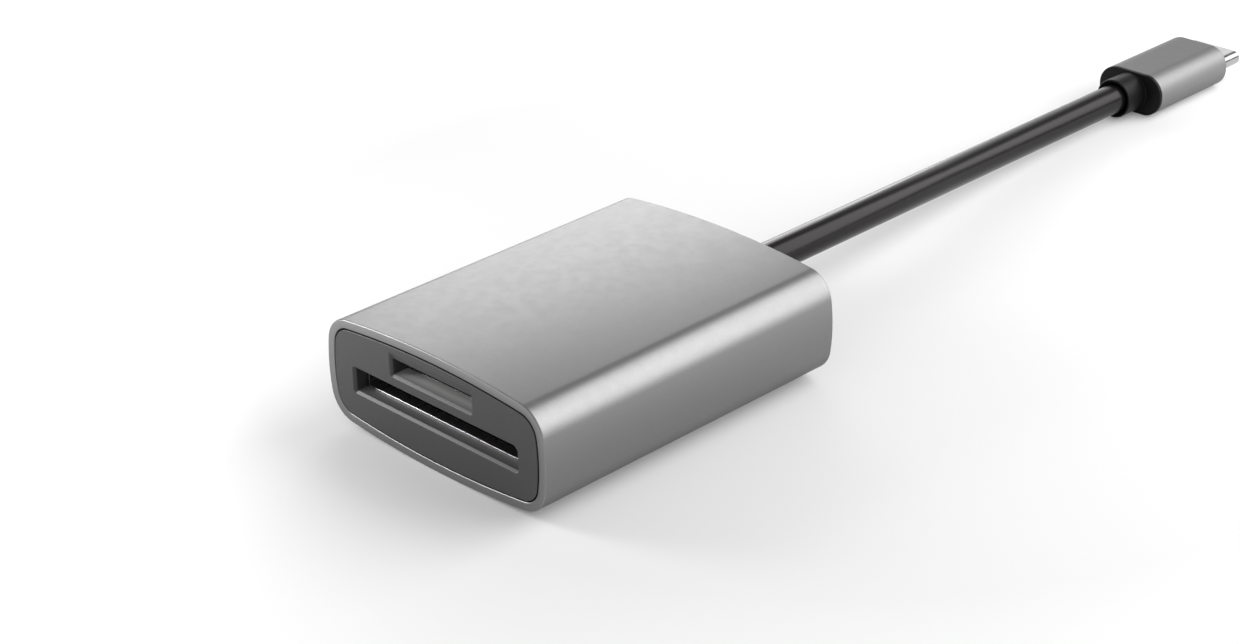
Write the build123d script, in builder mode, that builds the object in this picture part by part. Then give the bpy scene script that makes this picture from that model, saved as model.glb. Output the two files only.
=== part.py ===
from build123d import *
import os
from math import pi, radians, tan

# Memory card reader: an aluminium sleeve with a slot for large cards and a slot for small cards in its front bezel,
# and a short cable out of its back that ends in a plug with a flat oval tongue. The reader is 34.4 mm wide, 44 mm
# long and 14 mm high.
# X is the reader's width, Y its length (slots at -Y, cable at +Y) and Z is up. The origin lies under the middle of
# the reader, on the surface that it stands on. All sizes are in millimetres.

# Cards that the reader takes
large_card_width = 24.0
large_card_thickness = 2.1
small_card_width = 11.0
small_card_thickness = 1.0

# Sleeve
side_land = 4.4  # end of the large slot to the reader's side
crown = 1.1  # rise of the bowed top, and drop of the bowed bottom, between the corners
side_bow = 0.8
corner_radius = 3.6
wall = 1.05
edge_break = 0.15

# End pieces
seam = 0.15  # gap between the sleeve and the bezel or the cap
bezel_depth = 2.3
cap_depth = 2.3

# Card slots in the bezel
large_side_play = 0.8
large_thickness_play = 0.3
large_lead_in = 0.3
large_key = 0.5  # cut of the large slot's upper +X corner
small_slot_x = -0.2  # the small slot's middle
small_side_play = 0.75
small_thickness_play = 0.425
small_lead_in = 0.3
small_upper_bevel = 0.9  # height of the long bevel over the small slot
slot_corner = 0.15  # in the throat
slot_web = 1.55  # between the two slots
bevel_land = 0.75  # bevel to the bezel's upper edge

# Card sockets
sheet = 0.2  # of the folded steel covers
fold_radius = 0.35
socket_play = 0.3  # card to cover, on each side
socket_headroom = 0.1  # slot roof to cover
socket_fit = 0.05  # between cover and insulator
socket_lip = 1.5  # length of the folded lip at the mouth
socket_end_wall = 1.2
large_pocket_depth = 0.65  # how far the large socket reaches into the bezel
large_pocket_play = 0.1
large_socket_depth = 26.0
large_floor_thickness = 0.7
finger_width = 2.4
finger_length = 9.0
finger_slit = 0.4
finger_x = 8.0
small_socket_depth = 15.0
small_headroom = 0.45
small_floor_drop = 0.12  # of the small socket's floor below the slot's

# Contacts of the sockets
contact_thickness = 0.15
contact_foot = 1.0
contact_slope = 2.0  # length of the ramp up to a small contact's bump
contact_nose = 1.0  # from a contact's bump to its tip
contact_lift = 0.15  # of a contact's bump above the socket's lip
contact_groove_play = 0.15  # on each side of a contact
large_contact_count = 9
large_contact_margin = 2.3  # side of the socket to the middle of its first contact
large_contact_width = 0.9
large_contact_reach = 8.5  # end wall to the tip of a contact
large_groove_height = 0.4
small_contact_count = 8
small_contact_margin = 1.95
small_contact_width = 0.5
small_contact_reach = 9.0  # mouth to the tip of a contact
small_groove_depth = 0.8
small_tail_gap = 1.0  # from the large contacts' feet to the small contacts' tails

# Parts under the board
chip_clearance = 0.2  # below the thickest of them
chip_size = 6.0
chip_thickness = 0.75
chip_mark = 0.6
chip_x = -3.0
chip_setback = 7.5  # board's rear edge to the chip's middle
crystal_length = 3.2
crystal_width = 2.5
crystal_thickness = 0.7
crystal_corner = 0.3
crystal_spacing = 4.5  # crystal to regulator
regulator_length = 2.9
regulator_width = 1.6
regulator_thickness = 0.7
regulator_inset = 5.0  # from the board's side
regulator_lead_count = 3  # on one side, with two on the other
regulator_lead_width = 0.4
regulator_lead_thickness = 0.15
regulator_lead_reach = 0.6
regulator_lead_pitch = 0.95
passive_length = 1.0
passive_width = 0.5
passive_pitch = 1.8
capacitor_count = 8
capacitor_thickness = 0.5
capacitor_setback = 13.5  # board's rear edge to the row
resistor_count = 6
resistor_thickness = 0.35
resistor_setback = 16.5

# Circuit board and the tray under it
board_thickness = 1.0
board_gap = 0.2  # bezel to board
board_corner = 0.8
board_play = 0.1
pad_gap = 2.95  # small contacts' feet to the pads of the cable's cores
pad_margin = 0.8  # those pads to the board's rear edge
wiring_room = 5.7  # board to rear cap
tray_fit = 0.1
tray_floor = 1.25
tray_side = 1.2
tray_ledge = 1.0
tray_wall_rise = 4.6  # of the side walls above the board
peg_diameter = 1.6
peg_play = 0.1
peg_rise = 0.5
peg_inset = 2.5  # from the board's side and rear edges

# Cable and its grommet
cable_diameter = 4.0
cable_fit = 0.05
cable_end_reach = 1.0  # of the cable's end past the grommet's flange
grommet_wall = 0.65
grommet_flange_rim = 1.3
grommet_flange_thickness = 1.2
grommet_reach = 4.4  # behind the rear cap
grommet_chamfer = 0.4
grommet_fit = 0.05
core_diameter = 0.9
core_spread = 0.75  # of the cores in the cable's end, along X and Z
core_pad_pitch = 3.0
core_pad_length = 1.6
core_straight = 1.3

# Plug, sized outwards from its tongue
plug_x = -5.85
plug_distance = 89.2  # reader's rear face to the rear edge of the plug's shell
plug_wall = 0.6
plug_corner = 2.75
plug_edge_chamfer = 0.2
plug_fit = 0.05
plug_recess = 0.25  # of the mould behind the shell's front edge
mould_side = 0.225
mould_roof = 1.2
plug_back_wall = 1.6
plug_cavity_side = 0.3
plug_cavity_roof = 0.55
plug_board_play = 0.2
plug_board_thickness = 0.6
plug_board_length = 5.0
plug_core_run = 4.0  # cable's end to the plug's board
plug_core_diameter = 0.7
plug_core_x = 1.0
plug_core_overlap = 1.5
flange_thickness = 0.5
flange_chamfer = 0.1
collar_length = 4.4
collar_countersink = 0.45
collar_land = 0.05
collar_chamfer = 0.15

# Tongue of the plug, sized outwards from its contacts to 8.25 by 2.0
tongue_contact_count = 12
tongue_contact_pitch = 0.5
tongue_contact_width = 0.25
tongue_contact_thickness = 0.1
tongue_contact_setback = 1.4
tongue_contact_bump = 0.12
tongue_contact_slope = 1.0
tongue_contact_overlap = 1.5  # of the contacts on the plug's board
throat_side_room = 0.575
insulator_side = 0.375
insulator_roof = 0.3
insulator_fit = 0.05
insulator_setback = 0.4
tongue_wall = 0.25
tongue_end_flat = 0.04  # what the rounded ends leave straight
tongue_reach = 4.6
tongue_root = 5.0  # length inside the plug
tongue_rim = 0.08
latch_thickness = 0.2
latch_width = 0.7
latch_length = 4.6
latch_hook = 0.25
latch_slope = 1.0

# Heights, stacked up from the sleeve's floor
tray_floor_top = wall + tray_fit + tray_floor
thickest_part = max(
    chip_thickness, crystal_thickness, regulator_thickness, capacitor_thickness, resistor_thickness)
board_bottom = tray_floor_top + thickest_part + chip_clearance
board_top = board_bottom + board_thickness
large_throat_low = board_top + large_floor_thickness
large_throat_high = large_throat_low + large_card_thickness + 2 * large_thickness_play
large_roof = large_throat_high + socket_headroom
large_cover_top = large_roof + sheet
small_throat_low = large_throat_high + slot_web
small_throat_high = small_throat_low + small_card_thickness + 2 * small_thickness_play
small_socket_floor = small_throat_low - small_floor_drop
small_roof = small_socket_floor + sheet + small_card_thickness + small_headroom
small_cover_top = small_roof + sheet
small_groove_floor = small_socket_floor - small_groove_depth
body_height = small_throat_high + small_upper_bevel + bevel_land + seam + wall
cable_height = body_height / 2

# Widths
large_throat_width = large_card_width + 2 * large_side_play
large_cavity_width = large_card_width + 2 * socket_play
large_cover_width = large_cavity_width + 2 * sheet
large_contact_pitch = (large_cavity_width - 2 * large_contact_margin) / (large_contact_count - 1)
small_throat_width = small_card_width + 2 * small_side_play
small_cavity_width = small_card_width + 2 * socket_play
small_cover_width = small_cavity_width + 2 * sheet
small_contact_pitch = (small_cavity_width - 2 * small_contact_margin) / (small_contact_count - 1)
body_width = large_throat_width + 2 * side_land
board_width = body_width - 2 * (side_bow + wall + tray_fit + tray_side)
regulator_x = board_width / 2 - regulator_inset
crystal_x = regulator_x - crystal_spacing

# Lengths, stacked up from the bezel's face to the rear cap
socket_setback = bezel_depth - large_pocket_depth
tails_length = contact_foot + small_tail_gap + contact_foot
pads_length = pad_gap + core_pad_length + pad_margin
body_length = socket_setback + large_socket_depth + tails_length + pads_length + wiring_room + cap_depth
front_y = -body_length / 2
rear_y = body_length / 2
bezel_back = front_y + bezel_depth
cap_front = rear_y - cap_depth
large_mouth_y = front_y + socket_setback
large_end_y = large_mouth_y + large_socket_depth
small_mouth_y = bezel_back
small_tail_y = large_end_y + contact_foot + small_tail_gap
board_front = bezel_back + board_gap
board_rear = cap_front - wiring_room
core_pad_y = board_rear - pad_margin - core_pad_length
peg_x = board_width / 2 - peg_inset
peg_y = board_rear - peg_inset
chip_y = board_rear - chip_setback

# Grommet, plug and tongue
grommet_bore = cable_diameter / 2 + cable_fit
grommet_radius = grommet_bore + grommet_wall
throat_width = (
    (tongue_contact_count - 1) * tongue_contact_pitch + tongue_contact_width + 2 * throat_side_room)
throat_height = plug_board_thickness + 2 * tongue_contact_thickness
insulator_width = throat_width + 2 * insulator_side
insulator_height = throat_height + 2 * insulator_roof
tongue_width = insulator_width + 2 * (insulator_fit + tongue_wall)
tongue_height = insulator_height + 2 * (insulator_fit + tongue_wall)
tongue_radius = (tongue_height - tongue_end_flat) / 2
mould_width = tongue_width + 2 * (plug_fit + mould_side)
mould_height = tongue_height + 2 * (plug_fit + mould_roof)
plug_width = mould_width + 2 * (plug_fit + plug_wall)
plug_height = mould_height + 2 * (plug_fit + plug_wall)
plug_cavity_width = mould_width - 2 * plug_cavity_side
plug_cavity_height = mould_height - 2 * plug_cavity_roof
plug_board_width = plug_cavity_width - 2 * plug_board_play
plug_z = plug_height / 2
plug_y = rear_y + plug_distance
plug_length = plug_back_wall + plug_core_run + plug_board_length + tongue_root
plug_front = plug_y + plug_length
cavity_back = plug_y + plug_back_wall
tongue_tip = plug_front + tongue_reach
tongue_back = plug_front - tongue_root
collar_radius = cable_diameter / 2 + cable_fit + collar_countersink + collar_land + collar_chamfer

# The cable leaves the grommet level, comes down to the surface that the plug lies on, and runs level into the plug.
cable_start = cap_front - grommet_flange_thickness - cable_end_reach
cable_level_run = 22.0  # behind the reader's rear face
plug_level_run = 25.2  # behind the plug's shell
cable_route = [
    (0, cable_start, cable_height),
    (0, rear_y + cable_level_run, cable_height),
    (plug_x, plug_y - plug_level_run, plug_z),
    (plug_x, cavity_back, plug_z),
]
arc_share = 0.45  # of the shorter run, at each turn of the route


def across(y):
    """A sketch plane across the reader at y: sketch x is X, sketch y is Z, and extrusions run towards -Y."""
    return Plane.XZ.offset(-y)


def along(x):
    """A sketch plane along the reader at x: sketch x is Y, sketch y is Z."""
    return Plane.YZ.offset(x)


def row(count, pitch):
    """Places of a row of like things, spaced by pitch about 0."""
    return [(index - (count - 1) / 2) * pitch for index in range(count)]


def bow_radius(half_chord, rise):
    """Radius of an arc that rises so much over the middle of its chord."""
    return (half_chord ** 2 + rise ** 2) / (2 * rise)


def body_section(inset):
    """The reader's bowed outline, moved inwards by inset: what four large circles share, with its corners rounded.

    The side circles are turned so that they start and end away from the outline.
    """
    top_radius = bow_radius(body_width / 2 - side_bow, crown)
    side_radius = bow_radius(body_height / 2 - crown, side_bow)
    side_centre = side_radius - body_width / 2
    with BuildSketch() as section:
        with Locations((0, body_height - top_radius)):
            Circle(top_radius - inset)
        with Locations((0, top_radius)):
            Circle(top_radius - inset, mode=Mode.INTERSECT)
        with Locations(Location((side_centre, body_height / 2, 0))):
            Circle(side_radius - inset, mode=Mode.INTERSECT)
        with Locations(Location((-side_centre, body_height / 2, 0), (0, 0, 180))):
            Circle(side_radius - inset, mode=Mode.INTERSECT)
        fillet(section.vertices(), corner_radius - inset)
    return section.sketch


def slot_outline(middle, width, low, high, corner, key=0):
    """A card slot's outline between two heights, with rounded corners and its upper +X corner cut by key."""
    with BuildSketch() as outline:
        with Locations((middle, (low + high) / 2)):
            Rectangle(width, high - low)
        corners = outline.vertices().sort_by(lambda vertex: vertex.X + vertex.Y)
        if key > 0:
            fillet(corners[:-1], corner)
            chamfer(outline.vertices().group_by(Axis.Y)[-1].sort_by(Axis.X)[-1], key)
        else:
            fillet(corners, corner)
    return outline.sketch


def large_slot(margin):
    """The large slot's outline, widened on all sides by margin."""
    return slot_outline(
        0, large_throat_width + 2 * margin, large_throat_low - margin, large_throat_high + margin,
        slot_corner + margin, large_key)


def small_slot(margin, rise):
    """The small slot's outline, widened at its sides and bottom by margin and at its top by rise."""
    return slot_outline(
        small_slot_x, small_throat_width + 2 * margin, small_throat_low - margin, small_throat_high + rise,
        slot_corner + margin)


def bent_strip(points, thickness):
    """A strip of sheet seen from its edge, along the points and centred on them."""
    with BuildSketch() as strip:
        with BuildLine():
            Polyline(*points)
        trace(line_width=thickness)
    return strip.sketch


def turn_radius(before, corner, after):
    """The largest arc that fits a corner of the cable's route."""
    incoming = Vector(*corner) - Vector(*before)
    outgoing = Vector(*after) - Vector(*corner)
    shorter = min(incoming.length, outgoing.length)
    return arc_share * shorter / tan(radians(incoming.get_angle(outgoing)) / 2)


def save(piece, name):
    """Labels a finished piece and writes it."""
    piece.part.label = name
    export_step(piece.part, f"parts/{name}.step")


os.makedirs("parts", exist_ok=True)

# Sleeve: a length of bowed aluminium extrusion, with its four end edges broken
with BuildPart() as sleeve:
    with BuildSketch(across(front_y)):
        add(body_section(0))
        add(body_section(wall), mode=Mode.SUBTRACT)
    extrude(amount=-body_length)
    chamfer(sleeve.faces().filter_by(Axis.Y).edges(), edge_break)
save(sleeve, "sleeve")

# Front bezel: a flush plate with the two card slots, each with a lead-in at the face, and a pocket behind the lower
# one for the mouth of the large socket
with BuildPart() as front_bezel:
    with BuildSketch(across(front_y)):
        add(body_section(wall + seam))
        add(large_slot(0), mode=Mode.SUBTRACT)
        add(small_slot(0, 0), mode=Mode.SUBTRACT)
    extrude(amount=-bezel_depth)
    with BuildSketch(across(front_y)):
        add(large_slot(large_lead_in))
    with BuildSketch(across(front_y + large_lead_in)):
        add(large_slot(0))
    loft(ruled=True, mode=Mode.SUBTRACT)
    with BuildSketch(across(front_y)):
        add(small_slot(small_lead_in, small_upper_bevel))
    with BuildSketch(across(front_y + small_lead_in)):
        add(small_slot(0, 0))
    loft(ruled=True, mode=Mode.SUBTRACT)
    with BuildSketch(across(large_mouth_y)):
        add(slot_outline(
            0, large_throat_width + 2 * large_pocket_play,
            board_top - large_pocket_play, large_cover_top + large_pocket_play, slot_corner))
    extrude(amount=-large_pocket_depth, mode=Mode.SUBTRACT)
save(front_bezel, "front_bezel")

# Rear cap: a flush plate with the hole for the grommet's neck
with BuildPart() as rear_cap:
    with BuildSketch(across(cap_front)):
        add(body_section(wall + seam))
        with Locations((0, cable_height)):
            Circle(grommet_radius + grommet_fit, mode=Mode.SUBTRACT)
    extrude(amount=-cap_depth)
    chamfer(rear_cap.faces().sort_by(Axis.Y)[-1].outer_wire().edges(), edge_break)
save(rear_cap, "rear_cap")

# Cable grommet: a flange inside the cap, a neck through it and a short sleeve behind
with BuildPart() as cable_grommet:
    with BuildSketch(along(0)) as grommet_profile:
        with BuildLine():
            bore = cable_height + grommet_bore
            neck = cable_height + grommet_radius
            rim = neck + grommet_flange_rim
            flange_start = cap_front - grommet_flange_thickness
            Polyline(
                (flange_start, bore), (flange_start, rim), (cap_front, rim), (cap_front, neck),
                (rear_y + grommet_reach, neck), (rear_y + grommet_reach, bore), close=True)
        make_face()
        chamfer(grommet_profile.vertices().group_by(Axis.X)[-1].sort_by(Axis.Y)[-1], grommet_chamfer)
    revolve(axis=Axis((0, 0, cable_height), (0, 1, 0)))
save(cable_grommet, "cable_grommet")

# Board tray: a floor that follows the sleeve, side walls with a ledge for the board, and two pegs
with BuildPart() as board_tray:
    with BuildSketch(across(bezel_back)):
        add(body_section(wall + tray_fit))
        with Locations((0, tray_floor_top)):
            Rectangle(
                board_width - 2 * tray_ledge, body_height, align=(Align.CENTER, Align.MIN), mode=Mode.SUBTRACT)
        with Locations((0, board_bottom)):
            Rectangle(
                board_width + 2 * board_play, body_height, align=(Align.CENTER, Align.MIN), mode=Mode.SUBTRACT)
        with Locations((0, board_top + tray_wall_rise)):
            Rectangle(body_width, body_height, align=(Align.CENTER, Align.MIN), mode=Mode.SUBTRACT)
    extrude(amount=-(cap_front - bezel_back))
    with BuildSketch(Plane.XY.offset(tray_floor_top)):
        with Locations((-peg_x, peg_y), (peg_x, peg_y)):
            Circle(peg_diameter / 2)
    extrude(amount=board_top + peg_rise - tray_floor_top)
save(board_tray, "board_tray")

# Circuit board, with holes for the tray's pegs
with BuildPart() as circuit_board:
    with BuildSketch(Plane.XY.offset(board_bottom)):
        with Locations((0, (board_front + board_rear) / 2)):
            RectangleRounded(board_width, board_rear - board_front, board_corner)
        with Locations((-peg_x, peg_y), (peg_x, peg_y)):
            Circle(peg_diameter / 2 + peg_play, mode=Mode.SUBTRACT)
    extrude(amount=board_thickness)
save(circuit_board, "circuit_board")

# Large socket cover: folded sheet with two sides, a roof with two spring fingers cut in it, and a lip at the mouth
with BuildPart() as large_socket_cover:
    with BuildSketch(across(large_mouth_y)) as large_fold:
        with Locations((0, board_top)):
            Rectangle(large_cover_width, large_cover_top - board_top, align=(Align.CENTER, Align.MIN))
        fillet(large_fold.vertices().group_by(Axis.Y)[-1], fold_radius)
        with Locations((0, board_top)):
            Rectangle(
                large_cavity_width, large_roof - board_top, align=(Align.CENTER, Align.MIN), mode=Mode.SUBTRACT)
    extrude(amount=-large_socket_depth)
    with BuildSketch(across(large_mouth_y)):
        with Locations((0, large_throat_low)):
            Rectangle(large_cavity_width, sheet, align=(Align.CENTER, Align.MIN))
    extrude(amount=-socket_lip)
    with BuildSketch(Plane.XY.offset(large_roof)):
        with Locations((-finger_x, large_end_y - finger_length), (finger_x, large_end_y - finger_length)):
            Rectangle(finger_width + 2 * finger_slit, finger_length)
            with Locations((0, finger_slit)):
                Rectangle(finger_width, finger_length, mode=Mode.SUBTRACT)
    extrude(amount=sheet, mode=Mode.SUBTRACT)
save(large_socket_cover, "large_socket_cover")

# Large socket insulator: a floor with a window and a groove for each contact, and an end wall
with BuildPart() as large_socket_base:
    large_base_width = large_cavity_width - 2 * socket_fit
    with BuildSketch(Plane.XY.offset(board_top)):
        with Locations((0, large_mouth_y + sheet)):
            Rectangle(large_base_width, large_socket_depth - sheet, align=(Align.CENTER, Align.MIN))
    extrude(amount=large_floor_thickness)
    with BuildSketch(Plane.XY.offset(large_throat_low)):
        with Locations((0, large_end_y)):
            Rectangle(large_base_width, socket_end_wall, align=(Align.CENTER, Align.MAX))
    extrude(amount=large_roof - socket_fit - large_throat_low)
    groove_width = large_contact_width + 2 * contact_groove_play
    window_front = large_end_y - socket_end_wall - large_contact_reach - contact_groove_play
    window_places = [(x, window_front) for x in row(large_contact_count, large_contact_pitch)]
    with BuildSketch(Plane.XY.offset(board_top)):
        with Locations(*window_places):
            Rectangle(groove_width, large_contact_reach, align=(Align.CENTER, Align.MIN))
    extrude(amount=large_floor_thickness, mode=Mode.SUBTRACT)
    with BuildSketch(Plane.XY.offset(board_top)):
        with Locations(*window_places):
            Rectangle(groove_width, large_end_y - window_front, align=(Align.CENTER, Align.MIN))
    extrude(amount=large_groove_height, mode=Mode.SUBTRACT)
save(large_socket_base, "large_socket_base")

# Large contacts: a foot on the board, a run through the groove and a sprung bump that the card's pads meet
with BuildPart() as large_contacts:
    large_tip_y = large_end_y - socket_end_wall - large_contact_reach
    foot_level = board_top + contact_thickness / 2
    large_bump = large_throat_low + sheet + contact_lift
    for x in row(large_contact_count, large_contact_pitch):
        with BuildSketch(along(x)):
            add(bent_strip(
                [
                    (large_end_y + contact_foot, foot_level),
                    (large_end_y - socket_end_wall - contact_foot, foot_level),
                    (large_tip_y + contact_nose, large_bump),
                    (large_tip_y + contact_thickness, large_throat_low),
                ],
                contact_thickness))
        extrude(amount=large_contact_width / 2, both=True)
save(large_contacts, "large_contacts")

# Small socket cover: narrower folded sheet, standing on the roof of the large socket
with BuildPart() as small_socket_cover:
    with BuildSketch(across(small_mouth_y)) as small_fold:
        with Locations((small_slot_x, large_cover_top)):
            Rectangle(small_cover_width, small_cover_top - large_cover_top, align=(Align.CENTER, Align.MIN))
        fillet(small_fold.vertices().group_by(Axis.Y)[-1], fold_radius)
        with Locations((small_slot_x, large_cover_top)):
            Rectangle(
                small_cavity_width, small_roof - large_cover_top,
                align=(Align.CENTER, Align.MIN), mode=Mode.SUBTRACT)
    extrude(amount=-small_socket_depth)
    with BuildSketch(across(small_mouth_y)):
        with Locations((small_slot_x, small_socket_floor)):
            Rectangle(small_cavity_width, sheet, align=(Align.CENTER, Align.MIN))
    extrude(amount=-socket_lip)
save(small_socket_cover, "small_socket_cover")

# Small socket insulator: a long block with a groove for each contact
with BuildPart() as small_socket_base:
    small_groove_front = small_mouth_y + small_contact_reach - contact_groove_play
    with BuildSketch(Plane.XY.offset(large_cover_top)):
        with Locations((small_slot_x, small_mouth_y + sheet)):
            Rectangle(
                small_cavity_width - 2 * socket_fit, large_end_y - small_mouth_y - sheet,
                align=(Align.CENTER, Align.MIN))
    extrude(amount=small_socket_floor - large_cover_top)
    with BuildSketch(Plane.XY.offset(small_groove_floor)):
        with Locations(*[
                (small_slot_x + x, small_groove_front) for x in row(small_contact_count, small_contact_pitch)]):
            Rectangle(
                small_contact_width + 2 * contact_groove_play, large_end_y - small_groove_front,
                align=(Align.CENTER, Align.MIN))
    extrude(amount=small_groove_depth, mode=Mode.SUBTRACT)
save(small_socket_base, "small_socket_base")

# Small contacts: each lies in its groove and goes down behind the large socket to a foot on the board
with BuildPart() as small_contacts:
    small_tip_y = small_mouth_y + small_contact_reach
    small_level = small_groove_floor + contact_thickness / 2
    small_bump = small_socket_floor + sheet + contact_lift
    for x in row(small_contact_count, small_contact_pitch):
        with BuildSketch(along(small_slot_x + x)):
            add(bent_strip(
                [
                    (small_tail_y + contact_foot, foot_level),
                    (small_tail_y, foot_level),
                    (small_tail_y, small_level),
                    (small_tip_y + contact_nose + contact_slope, small_level),
                    (small_tip_y + contact_nose, small_bump),
                    (small_tip_y + contact_thickness, small_socket_floor),
                ],
                contact_thickness))
        extrude(amount=small_contact_width / 2, both=True)
save(small_contacts, "small_contacts")

# Controller chip, under the board, with its first corner cut
with BuildPart() as controller_chip:
    with BuildSketch(Plane.XY.offset(board_bottom)) as chip_outline:
        with Locations((chip_x, chip_y)):
            Rectangle(chip_size, chip_size)
        chamfer(chip_outline.vertices().group_by(Axis.Y)[-1].sort_by(Axis.X)[0], chip_mark)
    extrude(amount=-chip_thickness)
save(controller_chip, "controller_chip")

# Crystal: a low can with rounded corners
with BuildPart() as crystal:
    with BuildSketch(Plane.XY.offset(board_bottom)):
        with Locations((crystal_x, chip_y)):
            RectangleRounded(crystal_width, crystal_length, crystal_corner)
    extrude(amount=-crystal_thickness)
save(crystal, "crystal")

# Voltage regulator: a body between three leads on one side and two on the other, all lying on the board
with BuildPart() as voltage_regulator:
    with BuildSketch(Plane.XY.offset(board_bottom)):
        with Locations((regulator_x, chip_y)):
            Rectangle(regulator_width, regulator_length)
    extrude(amount=-regulator_thickness)
    lead_x = regulator_width / 2 + regulator_lead_reach / 2
    lead_row = row(regulator_lead_count, regulator_lead_pitch)
    left_leads = [(regulator_x - lead_x, chip_y + y) for y in lead_row]
    right_leads = [(regulator_x + lead_x, chip_y + y) for y in (lead_row[0], lead_row[-1])]
    with BuildSketch(Plane.XY.offset(board_bottom)):
        with Locations(*left_leads, *right_leads):
            Rectangle(regulator_lead_reach, regulator_lead_width)
    extrude(amount=-regulator_lead_thickness)
save(voltage_regulator, "voltage_regulator")

# Chip capacitors and chip resistors: a row of each under the board
with BuildPart() as chip_capacitors:
    with BuildSketch(Plane.XY.offset(board_bottom)):
        with Locations(*[(x, board_rear - capacitor_setback) for x in row(capacitor_count, passive_pitch)]):
            Rectangle(passive_width, passive_length)
    extrude(amount=-capacitor_thickness)
save(chip_capacitors, "chip_capacitors")

with BuildPart() as chip_resistors:
    with BuildSketch(Plane.XY.offset(board_bottom)):
        with Locations(*[(x, board_rear - resistor_setback) for x in row(resistor_count, passive_pitch)]):
            Rectangle(passive_width, passive_length)
    extrude(amount=-resistor_thickness)
save(chip_resistors, "chip_resistors")

# Cable: one round jacket along its route
radii = [turn_radius(*cable_route[index - 1:index + 2]) for index in range(1, len(cable_route) - 1)]
with BuildPart() as cable:
    with BuildLine() as cable_line:
        FilletPolyline(*cable_route, radius=radii)
    with BuildSketch(across(cable_start)):
        with Locations((0, cable_height)):
            Circle(cable_diameter / 2)
    sweep(path=cable_line.line)
save(cable, "cable")
cable_length = cable_line.wire().length
cable_section = pi * cable_diameter ** 2 / 4
print("cable radii", [round(radius, 1) for radius in radii], "length", round(cable_length, 2))
print("cable volume", round(cable.part.volume, 2), "section times length", round(cable_section * cable_length, 2))

# Cores: four insulated wires from the cable's end down to the board's pads
with BuildPart() as cable_cores:
    core_level = board_top + core_diameter / 2
    inner_pads = core_pad_pitch / 2
    outer_pads = inner_pads + core_pad_pitch
    for start_x, start_z, pad_x in (
        (-core_spread, -core_spread, -outer_pads),
        (-core_spread, core_spread, -inner_pads),
        (core_spread, core_spread, inner_pads),
        (core_spread, -core_spread, outer_pads),
    ):
        core_points = [
            (start_x, cable_start, cable_height + start_z),
            (start_x, cable_start - core_straight, cable_height + start_z),
            (pad_x, core_pad_y + core_pad_length, core_level),
            (pad_x, core_pad_y, core_level),
        ]
        with BuildLine() as core_line:
            Polyline(*core_points)
        with BuildSketch(across(cable_start)):
            with Locations((start_x, cable_height + start_z)):
                Circle(core_diameter / 2)
        sweep(path=core_line.line, transition=Transition.RIGHT)
save(cable_cores, "cable_cores")

# Plug shell: an aluminium tube with its front edge broken
with BuildPart() as plug_shell:
    with BuildSketch(across(plug_y)):
        with Locations((plug_x, plug_z)):
            RectangleRounded(plug_width, plug_height, plug_corner)
            RectangleRounded(
                plug_width - 2 * plug_wall, plug_height - 2 * plug_wall, plug_corner - plug_wall, mode=Mode.SUBTRACT)
    extrude(amount=-plug_length)
    chamfer(plug_shell.faces().sort_by(Axis.Y)[-1].outer_wire().edges(), plug_edge_chamfer)
save(plug_shell, "plug_shell")

# Plug strain relief: a plate that closes the shell's rear, and a collar round the cable with a countersunk bore
with BuildPart() as plug_strain_relief:
    with BuildSketch(across(plug_y)):
        with Locations((plug_x, plug_z)):
            RectangleRounded(plug_width, plug_height, plug_corner)
    extrude(amount=flange_thickness)
    chamfer(plug_strain_relief.faces().sort_by(Axis.Y)[0].edges(), flange_chamfer)
    with BuildSketch(across(plug_y)):
        with Locations((plug_x, plug_z)):
            Circle(collar_radius)
    extrude(amount=collar_length)
    chamfer(plug_strain_relief.faces().sort_by(Axis.Y)[0].edges(), collar_chamfer)
    with BuildSketch(across(plug_y)):
        with Locations((plug_x, plug_z)):
            Circle(cable_diameter / 2 + cable_fit)
    extrude(amount=collar_length, mode=Mode.SUBTRACT)
    chamfer(plug_strain_relief.faces().sort_by(Axis.Y)[0].inner_wires()[0].edges(), collar_countersink)
save(plug_strain_relief, "plug_strain_relief")

# Plug mould: a block in the shell, with a hole for the cable, a cavity for the small board and a seat for the tongue
with BuildPart() as plug_mould:
    with BuildSketch(across(plug_y)):
        with Locations((plug_x, plug_z)):
            RectangleRounded(mould_width, mould_height, plug_corner - plug_wall - plug_fit)
    extrude(amount=-(plug_length - plug_recess))
    with BuildSketch(across(plug_y)):
        with Locations((plug_x, plug_z)):
            Circle(cable_diameter / 2 + cable_fit)
    extrude(amount=-plug_back_wall, mode=Mode.SUBTRACT)
    with BuildSketch(across(cavity_back)):
        with Locations((plug_x, plug_z)):
            Rectangle(plug_cavity_width, plug_cavity_height)
    extrude(amount=-(tongue_back - cavity_back), mode=Mode.SUBTRACT)
    with BuildSketch(across(plug_front)):
        with Locations((plug_x, plug_z)):
            RectangleRounded(tongue_width + 2 * plug_fit, tongue_height + 2 * plug_fit, tongue_radius + plug_fit)
    extrude(amount=tongue_root, mode=Mode.SUBTRACT)
save(plug_mould, "plug_mould")

# Tongue shell: a drawn steel tube with round ends and a softened rim
with BuildPart() as tongue_shell:
    with BuildSketch(across(tongue_back)):
        with Locations((plug_x, plug_z)):
            RectangleRounded(tongue_width, tongue_height, tongue_radius)
            RectangleRounded(
                tongue_width - 2 * tongue_wall, tongue_height - 2 * tongue_wall, tongue_radius - tongue_wall,
                mode=Mode.SUBTRACT)
    extrude(amount=-(tongue_tip - tongue_back))
    chamfer(tongue_shell.faces().sort_by(Axis.Y)[-1].edges(), tongue_rim)
save(tongue_shell, "tongue_shell")

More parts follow.
